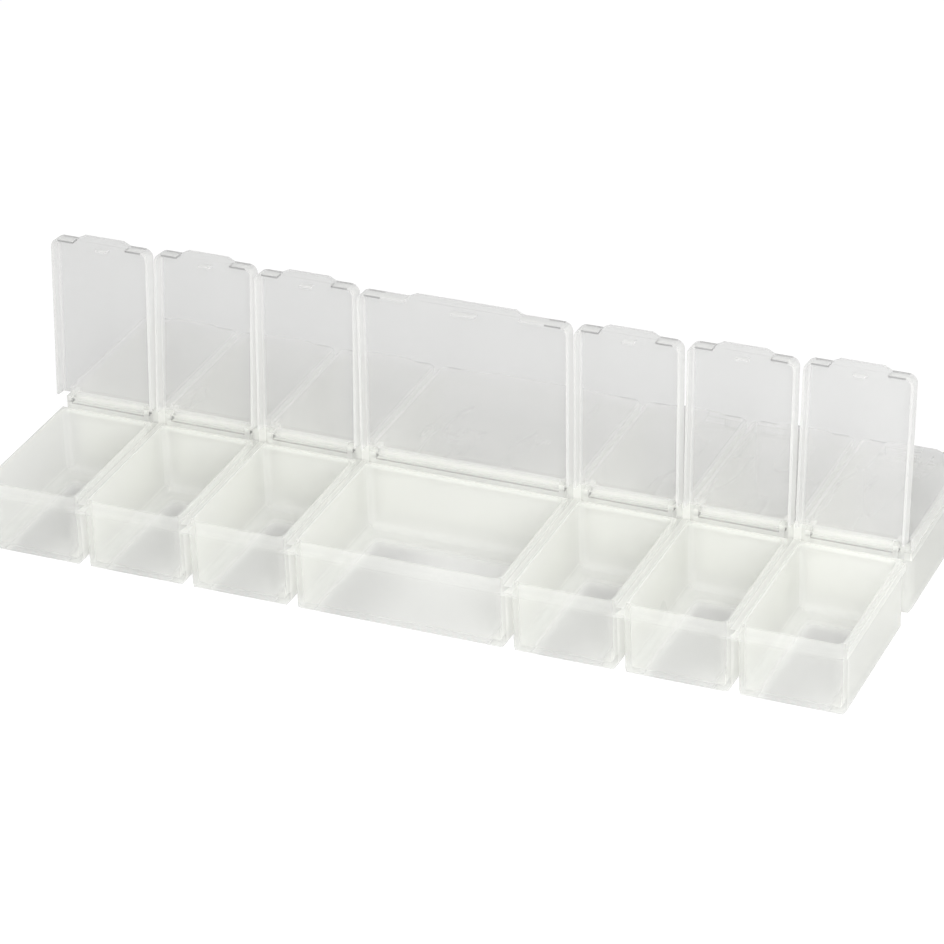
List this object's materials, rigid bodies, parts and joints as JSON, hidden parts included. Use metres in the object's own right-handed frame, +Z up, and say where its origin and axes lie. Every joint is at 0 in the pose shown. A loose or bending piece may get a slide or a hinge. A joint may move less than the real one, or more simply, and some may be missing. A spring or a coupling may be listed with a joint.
{
  "type": "individual lid bead organizer",
  "caption": "Translucent bead organizer tray: rows of small compartments, each closed by its own snap lid that swings up from a hinge along the central spine.",
  "frame": {"origin": "centre of the tray on the table, under the central hinge spine", "axes": "+X along the tray, left to right from the front; +Y from the open front row to the shut back row; +Z up"},
  "size_m": [0.2624, 0.1079, 0.0769],
  "materials": {
    "tray_plastic": "milky translucent polypropylene, semi-gloss",
    "lid_plastic": "milky translucent polypropylene, semi-gloss"
  },
  "bodies": {
    "tray": {"tray": "tray_plastic"},
    "lid_front_1": {"lid_front_1": "lid_plastic"},
    "lid_front_2": {"lid_front_2": "lid_plastic"},
    "lid_front_3": {"lid_front_3": "lid_plastic"},
    "lid_front_4": {"lid_front_4": "lid_plastic"},
    "lid_front_5": {"lid_front_5": "lid_plastic"},
    "lid_front_6": {"lid_front_6": "lid_plastic"},
    "lid_front_7": {"lid_front_7": "lid_plastic"},
    "lid_back_1": {"lid_back_1": "lid_plastic"},
    "lid_back_2": {"lid_back_2": "lid_plastic"},
    "lid_back_3": {"lid_back_3": "lid_plastic"},
    "lid_back_4": {"lid_back_4": "lid_plastic"},
    "lid_back_5": {"lid_back_5": "lid_plastic"},
    "lid_back_6": {"lid_back_6": "lid_plastic"},
    "lid_back_7": {"lid_back_7": "lid_plastic"}
  },
  "joints": [
    {"name": "hinge_front_1", "type": "hinge", "parent": "tray", "child": "lid_front_1", "pos_m": [-0.1155, -0.0017, 0.0241], "axis": [-1, 0, 0], "range_deg": [-95, 0]},
    {"name": "hinge_front_2", "type": "hinge", "parent": "tray", "child": "lid_front_2", "pos_m": [-0.0825, -0.0017, 0.0241], "axis": [-1, 0, 0], "range_deg": [-96.5, 0]},
    {"name": "hinge_front_3", "type": "hinge", "parent": "tray", "child": "lid_front_3", "pos_m": [-0.0495, -0.0017, 0.0241], "axis": [-1, 0, 0], "range_deg": [-94.5, 0]},
    {"name": "hinge_front_4", "type": "hinge", "parent": "tray", "child": "lid_front_4", "pos_m": [0, -0.0017, 0.0241], "axis": [-1, 0, 0], "range_deg": [-92.5, 0]},
    {"name": "hinge_front_5", "type": "hinge", "parent": "tray", "child": "lid_front_5", "pos_m": [0.0495, -0.0017, 0.0241], "axis": [-1, 0, 0], "range_deg": [-93, 0]},
    {"name": "hinge_front_6", "type": "hinge", "parent": "tray", "child": "lid_front_6", "pos_m": [0.0825, -0.0017, 0.0241], "axis": [-1, 0, 0], "range_deg": [-94.5, 0]},
    {"name": "hinge_front_7", "type": "hinge", "parent": "tray", "child": "lid_front_7", "pos_m": [0.1155, -0.0017, 0.0241], "axis": [-1, 0, 0], "range_deg": [-96.5, 0]},
    {"name": "hinge_back_1", "type": "hinge", "parent": "tray", "child": "lid_back_1", "pos_m": [-0.1155, 0.0017, 0.0241], "axis": [1, 0, 0], "range_deg": [0, 84]},
    {"name": "hinge_back_2", "type": "hinge", "parent": "tray", "child": "lid_back_2", "pos_m": [-0.0825, 0.0017, 0.0241], "axis": [1, 0, 0], "range_deg": [0, 84]},
    {"name": "hinge_back_3", "type": "hinge", "parent": "tray", "child": "lid_back_3", "pos_m": [-0.0495, 0.0017, 0.0241], "axis": [1, 0, 0], "range_deg": [0, 84]},
    {"name": "hinge_back_4", "type": "hinge", "parent": "tray", "child": "lid_back_4", "pos_m": [0, 0.0017, 0.0241], "axis": [1, 0, 0], "range_deg": [0, 84]},
    {"name": "hinge_back_5", "type": "hinge", "parent": "tray", "child": "lid_back_5", "pos_m": [0.0495, 0.0017, 0.0241], "axis": [1, 0, 0], "range_deg": [0, 84]},
    {"name": "hinge_back_6", "type": "hinge", "parent": "tray", "child": "lid_back_6", "pos_m": [0.0825, 0.0017, 0.0241], "axis": [1, 0, 0], "range_deg": [0, 84]},
    {"name": "hinge_back_7", "type": "hinge", "parent": "tray", "child": "lid_back_7", "pos_m": [0.1155, 0.0017, 0.0241], "axis": [1, 0, 0], "range_deg": [0, 84]}
  ]
}
